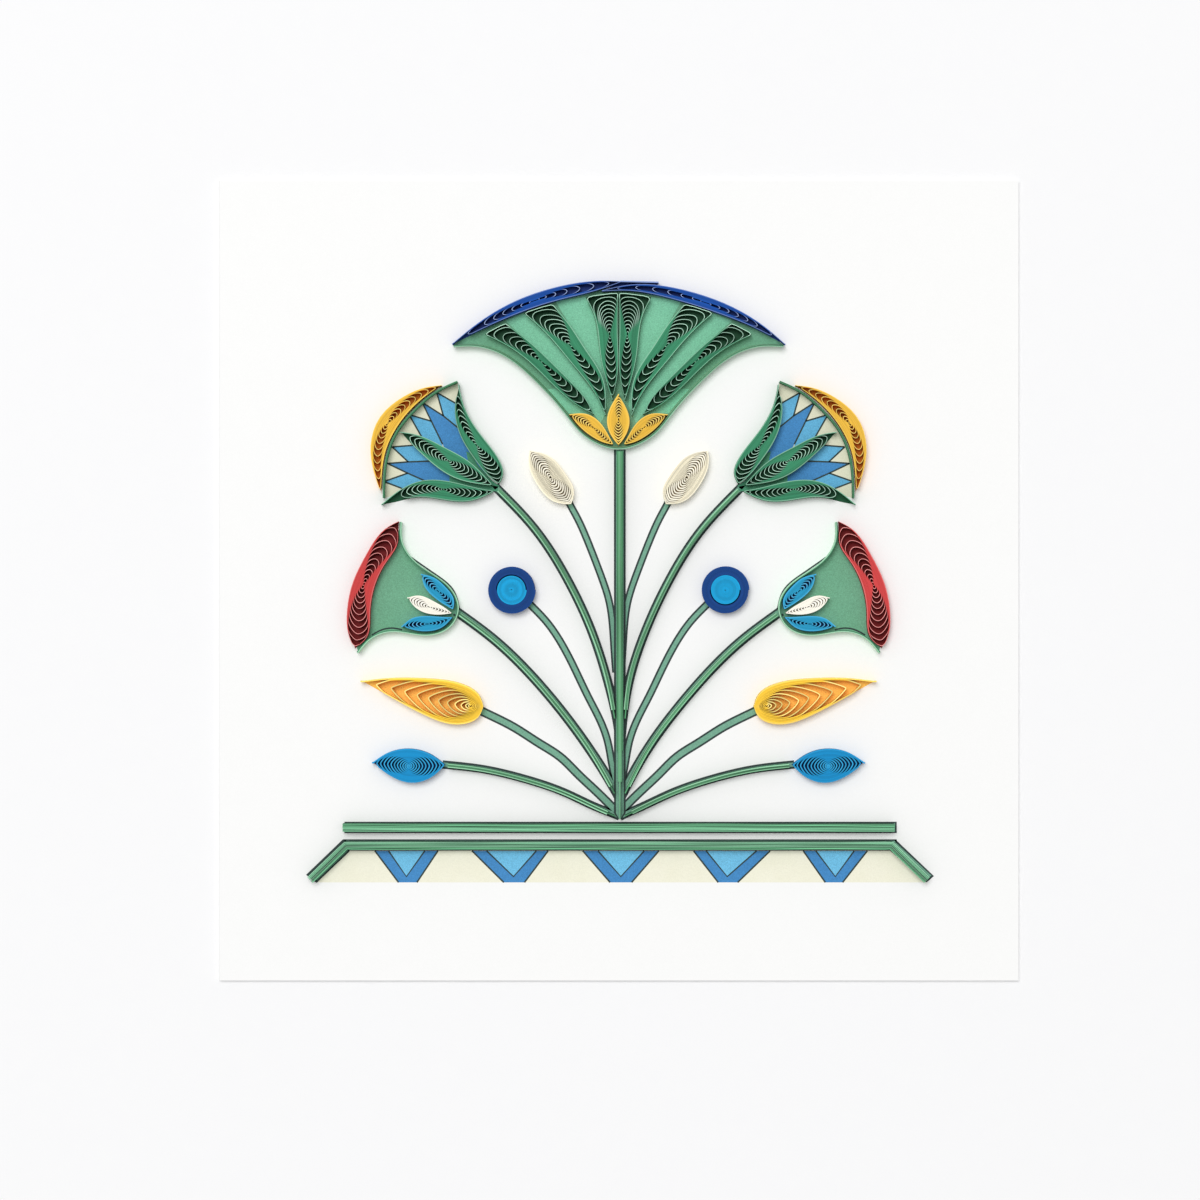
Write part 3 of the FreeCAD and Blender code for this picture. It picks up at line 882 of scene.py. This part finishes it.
def lotus_print(mouth, side):
    """Cream and blue fields between the sepals and the mouth, with dark lines round them."""
    def fields(label, layer, *outlines):
        for outline in outlines:
            prints.field(label, mirror(outline, side), layer)

    behind = [(-40, 17), (-33, 17), (-28, 18), (-28.5, 23), (-29.6, 29), (-30.5, 35)]
    base = [*Curve(mouth).evenly(24), *mirror(behind, side)]
    prints.field("lotus_cream", base)
    fields("light_blue", 2,
           [(-34.6, 35.8), (-31.3, 33.9), (-30.2, 32.5), (-29.8, 29), (-30.4, 29.1),
            (-33.35, 31.35)],
           [(-39.8, 31.55), (-35.65, 30.35), (-33.6, 26.15), (-33.4, 25), (-37, 26),
            (-37.6, 27.55)],
           [(-43, 25.4), (-39.3, 25.7), (-37, 25), (-34, 22), (-35.9, 22.7), (-40.05, 22.6)],
           [(-44.3, 18.8), (-40.15, 20.45), (-37, 19.05), (-36, 17.8), (-40, 17),
            (-41.2, 17.55)])
    fields("sepal_green", 4,
           [(-29.0, 24.6), (-28.0, 24.2), (-26.8, 22.0), (-24.0, 19.0), (-22.6, 18.0),
            (-23.5, 17.3), (-25.5, 19.5), (-28.6, 22.4)],
           [(-32.2, 19.9), (-31.5, 19.9), (-26.2, 18.6), (-22.9, 17.9), (-23.0, 17.0),
            (-27, 17.3), (-32.2, 18.5)])
    fields("mid_blue", 2,
           [(-37.3, 33.85), (-33.35, 31.35), (-30.8, 29.25), (-28.8, 26.5), (-24.6, 19.3),
            (-31, 23.5), (-33, 25), (-33.6, 26.15), (-35.65, 30.35)],
           [(-43.9, 22.25), (-40.05, 22.6), (-35.9, 22.7), (-33, 21.5), (-26.2, 18.4),
            (-28, 17.3), (-35, 18), (-37, 19.05), (-40.15, 20.45)])
    for points in (
            [(-34.6, 35.8), (-31.1, 33.8)], [(-34.6, 35.8), (-33.35, 31.35)],
            [(-37.4, 33.95), (-33.35, 31.35), (-30.5, 29.05)],
            [(-37.4, 33.95), (-35.65, 30.35), (-33.5, 25.95)],
            [(-39.9, 31.6), (-35.65, 30.35)], [(-39.9, 31.6), (-37.4, 27.2)],
            [(-43.1, 25.45), (-39.1, 25.75)], [(-43.1, 25.45), (-40.05, 22.6)],
            [(-44.0, 22.3), (-40.05, 22.6), (-35.7, 22.75)],
            [(-44.0, 22.3), (-40.15, 20.45), (-36.8, 18.95)],
            [(-44.4, 18.95), (-40.15, 20.45)], [(-44.4, 18.75), (-41.0, 17.45)]):
        prints.line("dark_line", mirror(points, side), layer=3)


# Red-edged flowers

def red_flower(name, side):
    coil_piece(name + "_red_rim", Coil(
        side, [(-41.8, 11.2)],
        [(-44.1, 9.95), (-48, 4.8), (-50.4, -0.1), (-51.6, -6), (-51.3, -10.2)],
        [(-41.8, 9.0), (-41.85, 7.2), (-43.9, 3.6), (-46.4, -1.8), (-47.1, -6.5), (-47.7, -10.7)],
        (-50.15, -12.95), 12, eye=0.52, first=(1.7, 1.5), spread=(1.4, 1.3),
        bows=(1.3, 1.6), tight=0.4), [red_paper], "red_strip", "red")
    coil_piece(name + "_upper_blue_petal", Coil(
        side, [(-37.5, 1.2)],
        [(-35.0, 0.55), (-32.75, -1.25), (-31.2, -3.6)],
        [(-36.95, -1.25), (-35, -3.4), (-33.0, -4.75)],
        (-31.4, -5.6), 7, first=(0.8, 0.7), spread=(1.1, 1.1), tight=1.0,
        bows=(1.5, 1.5), loop=0.18),
        [petal_paper], "sky_strip", "sky")
    coil_piece(name + "_white_petal", Coil(
        side, [(-40.1, -3.3)],
        [(-37.85, -2.85), (-35.2, -3.85), (-33.0, -5.1)],
        [(-38.6, -5.25), (-36.2, -6.4), (-33.5, -6.55)],
        (-31.5, -6.25), 8, first=(0.8, 0.7), spread=(1.1, 1.1), tight=1.0,
        bows=(1.5, 1.5), loop=0.34),
        [lit_white_paper, white_paper], "white_strip", "tan")
    coil_piece(name + "_lower_blue_petal", Coil(
        side, [(-41.2, -8.75)],
        [(-39.3, -7.2), (-36.2, -6.7), (-33.5, -6.85)],
        [(-39.6, -9.35), (-36.6, -9.8), (-33.4, -9.0)],
        (-31.4, -6.9), 7, first=(0.8, 0.7), spread=(1.1, 1.1), tight=1.0,
        bows=(1.5, 1.5), loop=0.18),
        [petal_paper], "sky_strip", "sky")
    outline = mirror([(-41.35, 11.1), (-41.25, 7.5), (-38.75, 3.55), (-34.9, 0.85),
                      (-31.6, -2.1), (-30.55, -5.6), (-32.2, -8.8), (-36.6, -10.3),
                      (-43.0, -9.6), (-47.0, -10.9), (-49.6, -13.7)], side)
    path = Curve(outline).evenly(120)
    build = Build()
    plies(build, path, 2, outline_ply, outline_ply, pale=outline_highlights[::-side])
    build.piece(name + "_flower_outline_plies", [outline_paper], "green_strip",
                name + "_flower_outline")
    rim = mirror([(-50.0, -12), (-49.5, -7), (-48.5, -1), (-45, 6), (-42, 9)], side)
    prints.field("field_green", np.concatenate([path, rim]))
    for points in ([(-40.2, 4.9), (-38.65, 3.8), (-34.75, 1.1), (-31.4, -1.95), (-30.3, -5.5)],
                   [(-47.0, -10.4), (-44.8, -9.3), (-42.6, -9.1), (-41.2, -9.4)]):
        prints.line("dark_line", mirror(points, side), layer=2, bend=True)
    stem(name + "_flower_stem", side,
         [(-30.1, -6.45), (-24, -11), (-18, -16.6), (-12, -23.4), (-6, -31.4)], -40.4, 1.9)


# Buds and round coils

def buds(name, side):
    coil_piece(name + "_white_bud", Coil(
        side, [(-16.9, 24.7)],
        [(-17.1, 22.2), (-15.6, 18.3), (-12.2, 14.9)],
        [(-13.4, 23.9), (-9.9, 20.2), (-8.4, 17.0)],
        (-9.0, 14.5), 13, first=(0.6, 0.6), spread=(1.1, 1.1), tight=0.9, fill=(1.0, 0.6),
        loop=0.26),
        [lit_white_paper, cream_paper], "white_strip", "tan")
    coil_piece(name + "_yellow_bud", Coil(
        side, [(-49.0, -19.15)],
        [(-44, -18.55), (-36, -18.55), (-30, -19.45), (-26.6, -21.6)],
        [(-45.5, -21.1), (-36.5, -25.9), (-30, -27.5), (-26.7, -26.1)],
        (-25.75, -23.9), 12, eye=0.83, first=(3.3, 0.22), spread=(1.85, 1.0), bows=(3.0, 1.0),
        power=(1.5, 2.0), tight=0.8, fill=(1.0, 0.5), loop=0.2, loose=(1, 0.15)),
        [lit_orange_paper, orange_paper], "orange_strip", "orange")
    coil_piece(name + "_blue_bud", Coil(
        side, [(-46.8, -34.65)],
        [(-43.8, -32.7), (-40, -31.9), (-35.8, -32.9)],
        [(-43.6, -37.1), (-39.2, -38.6), (-35.4, -37.4)],
        (-32.9, -35.0), 13, first=(1.2, 0.9), spread=(1.6, 1.6), bows=(1.4, 1.4), tight=1.0,
        loop=0.22),
        [bud_paper], "sky_strip", "sky")
    stem(name + "_bud_stem", side,
         [(-32.4, -35.15), (-26, -35.9), (-18, -37.75), (-10, -40.5), (-4.4, -43.1)], -44.7, 1.6)
    for points, width in (
            ([(-9.8, 15.6), (-9.2, 14.4), (-8, 12.2), (-6, 7.8), (-4, 2.7), (-3, 0), (-1.8, -3.9),
              (-1.2, -7.75), (-0.85, -12.6), (-0.5, -17.5)], 1.45),
            ([(-17.5, -3.9), (-16.7, -4.7), (-14, -7.5), (-11.1, -11.6), (-8.2, -17.1),
              (-5.7, -22.3), (-3.5, -26.65), (-2.1, -30.5), (-1.35, -34.4), (-0.9, -36.8),
              (-0.2, -39.8)], 1.5),
            ([(-27.2, -24.3), (-25.8, -25), (-20, -27.9), (-14.95, -31.1), (-11.1, -33.6),
              (-7.8, -36.8), (-4.5, -39.9), (-1.35, -43), (0.2, -44.6)], 1.75)):
        printed_stem(mirror(points, side), width)


def round_coil(name, side):
    """Two rolls of strip, one round the other, with their turns wound tight."""
    low, high = (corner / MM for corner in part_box(name + "_outer_roll"))
    centre = ((low + high) / 2).xy
    radius = (high.x - low.x) / 2
    inner_low, inner_high = (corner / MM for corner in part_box(name + "_inner_roll"))
    seam = (inner_high.x - inner_low.x) / 2
    for part, start, end, turns, paper_used, slot in (
            ("outer_roll", radius, seam + roll_gap, outer_roll_turns, navy_paper, "blue_strip"),
            ("inner_roll", seam, roll_bore, inner_roll_turns, roll_paper, "sky_strip")):
        pitch = (start - end) / turns
        rank = np.linspace(0, turns - 0.5, int(turns * turn_samples))
        reach = start - pitch * (rank + 0.5)
        angle = 2 * np.pi * rank * side
        line = np.column_stack([centre[0] + reach * np.cos(angle),
                                centre[1] + reach * np.sin(angle)])
        tones = turn_tones(rank)
        build = Build()
        ribbon(build, line, pitch * roll_fill, strip_top - top_wander * (0.5 + 0.5 * tones),
               shade=tones)
        build.piece(name + "_" + part + "_turns", [paper_used], slot, name + "_" + part)
    reach = radius - print_under_roll
    ring = [(centre[0] + reach * math.cos(angle), centre[1] + reach * math.sin(angle))
            for angle in np.linspace(0, 2 * math.pi, 48, endpoint=False)]
    # Dark blue ink under the rolls: painted shade between their turns
    prints.field("gap_blue", ring, gap_layer)


# Middle stem, bars and the printed base band

def middle_stem():
    low, high = (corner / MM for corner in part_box("middle_stem"))
    build = Build()
    line = np.linspace((middle_stem_x, high.y), (middle_stem_x, low.y), 60)
    plies(build, line, middle_stem_plies, middle_stem_pitch, stem_ply, middle_ply_step,
          wander=0.01, pale=middle_stem_highlights)
    build.piece("middle_stem_plies", [stem_paper], "green_strip", "middle_stem")
    head = 24.9
    taper = -44.3
    foot = -45.4
    prints.field("dark_line", [(-0.86, head), (1.37, head), (1.37, taper), (0.6, foot),
                               (-0.1, foot), (-0.86, taper)], layer=4)
    prints.field("stem_green", [(-0.48, head), (1.0, head), (1.0, taper), (0.4, foot),
                                (0.1, foot), (-0.48, taper)], layer=5)


def bars():
    """A straight bar and one with bent ends, on green print with dark edges."""
    for name, points in (
            ("upper_bar", [(-52.4, -47.0), (52.4, -47.0)]),
            ("lower_bar", [(-58.56, -56.93), (-51.8, -50.4), (51.8, -50.4), (58.56, -56.93)])):
        build = Build()
        line = straight_runs(points) + (0, bar_rise)
        # Some plies' top edges are lightened by lot: painted highlight
        plies(build, line, bar_plies, bar_pitch, bar_ply, wander=0.03, lit=(0.05, 0.25, 0.65))
        build.piece(name + "_plies", [bar_paper], "green_strip", name)
    left = -52.2
    right = 53.0
    for top, bottom in ((-45.95, -48.1), (-49.3, -51.45)):
        prints.field("dark_line", [(left, top), (right, top), (right, bottom), (left, bottom)],
                     layer=2)
        prints.field("stem_green", [
            (left + line_width, top - line_width), (right - line_width, top - line_width),
            (right - line_width, bottom + line_width), (left + line_width, bottom + line_width)],
            layer=3)
    for dark, green in (
            ([(-52.5, -49.3), (-52.0, -49.3), (-51.2, -51.6), (-57.5, -57.6), (-59.53, -56.06)],
             [(-52.0, -49.8), (-51.5, -51.4), (-57.4, -57.1), (-58.9, -56.2)]),
            ([(52.7, -49.25), (60.1, -56.3), (58.7, -57.5), (51.8, -51.5)],
             [(52.7, -49.8), (59.6, -56.2), (58.4, -57.1), (52.1, -51.3)])):
        prints.field("dark_line", dark, layer=2)
        prints.field("stem_green", green, layer=3)


def base_band():
    """A cream band under the bars with five blue V shapes, each filled with a lighter blue."""
    prints.field("cream", [(-52.0, -51.2), (52.2, -51.2), (58.8, -57.5), (-57.6, -57.5)])
    shapes = (((-46.4, -41.9, -38.4, -34.4), (-43.8, -40.4, -36.9)),
              ((-27.9, -21.85, -17.9, -13.4), (-25.1, -20.0, -15.65)),
              ((-6.8, -1.6, 2.5, 7.7), (-3.9, 0.45, 4.9)),
              ((14.3, 19.0, 22.7, 28.9), (16.7, 20.7, 26.3)),
              ((35.2, 39.4, 42.7, 47.4), (37.6, 41.3, 44.9)))
    top = -51.5
    bottom = -57.5
    apex = -56.4
    for (outer_left, bottom_left, bottom_right, outer_right), (left, middle, right) in shapes:
        prints.field("mid_blue", [(outer_left, top), (outer_right, top), (bottom_right, bottom),
                                  (bottom_left, bottom)], layer=2)
        prints.field("band_blue", [(left, top), (right, top), (middle, apex)], layer=3)
        for points in ([(outer_left, top), (bottom_left, bottom)],
                       [(outer_right, top), (bottom_right, bottom)],
                       [(left, top), (middle, apex), (right, top)]):
            prints.line("dark_line", points)


# The card and its print

def dress_card():
    """The card keeps its own solid and gets its finish here."""
    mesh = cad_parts["card"].data
    mesh.materials.clear()
    mesh.materials.append(card_ink)


def print_pieces():
    """One piece for each ink, the inks of painted shade under the coils among them."""
    inks = {"dark_line": dark_line_ink, "cream": cream_ink, "lotus_cream": lotus_cream_ink,
            "light_blue": light_blue_ink, "band_blue": band_blue_ink, "mid_blue": mid_blue_ink,
            "fan_green": fan_green_ink, "field_green": field_green_ink,
            "sepal_green": sepal_green_ink, "stem_green": stem_green_ink}
    inks.update(gap_and_shade_inks)
    for label, build in prints.builds.items():
        build.piece("printed_" + label, [inks[label]], "card_stock")


# Camera, light and floor

def aim(thing, target):
    """Turns a lamp towards a point."""
    way = Vector(target) - Vector(thing.location)
    thing.rotation_euler = way.to_track_quat("-Z", "Y").to_euler()


def stage():
    """A pale floor under the card, soft light from the picture's top, and the camera above."""
    mesh = bpy.data.meshes.new("floor")
    mesh.from_pydata([(-floor_half, -floor_half, 0), (floor_half, -floor_half, 0),
                      (floor_half, floor_half, 0), (-floor_half, floor_half, 0)],
                     [], [(0, 1, 2, 3)])
    floor = bpy.data.objects.new("floor", mesh)
    bpy.context.scene.collection.objects.link(floor)
    made = material("pale floor", printing, {
        "Ink": colour("F6F6F7"), "Thin ink": colour("F9F9F9"), "Mottle": 0.5, "Grain": 0.05},
        roughness=0.9, bump=0.05)
    mesh.materials.append(made)

    lamp = bpy.data.lights.new("soft box", "AREA")
    lamp.shape = "SQUARE"
    lamp.size = lamp_size
    lamp.energy = lamp_power
    light = bpy.data.objects.new("soft box", lamp)
    light.location = lamp_place
    aim(light, (0, 0, 0))
    bpy.context.scene.collection.objects.link(light)

    world = bpy.data.worlds.new("studio")
    world.use_nodes = True
    background = world.node_tree.nodes["Background"]
    background.inputs["Color"].default_value = (1, 1, 1, 1)
    background.inputs["Strength"].default_value = sky_strength
    bpy.context.scene.world = world

    camera = bpy.data.cameras.new("camera")
    camera.lens = lens
    camera.sensor_width = sensor
    camera.clip_start = nearest_seen
    eye = bpy.data.objects.new("camera", camera)
    view_height = view_width * lens / sensor + face_z
    eye.location = (view_middle[0] * MM, view_middle[1] * MM, view_height * MM)
    bpy.context.scene.collection.objects.link(eye)
    bpy.context.scene.camera = eye


papyrus_head()
for side_name, side_sign in SIDES.items():
    lotus(side_name, side_sign)
    red_flower(side_name, side_sign)
    buds(side_name, side_sign)
    round_coil(side_name, side_sign)
middle_stem()
bars()
base_band()
dress_card()
print_pieces()
stage()

bpy.context.scene.view_settings.view_transform = "Standard"
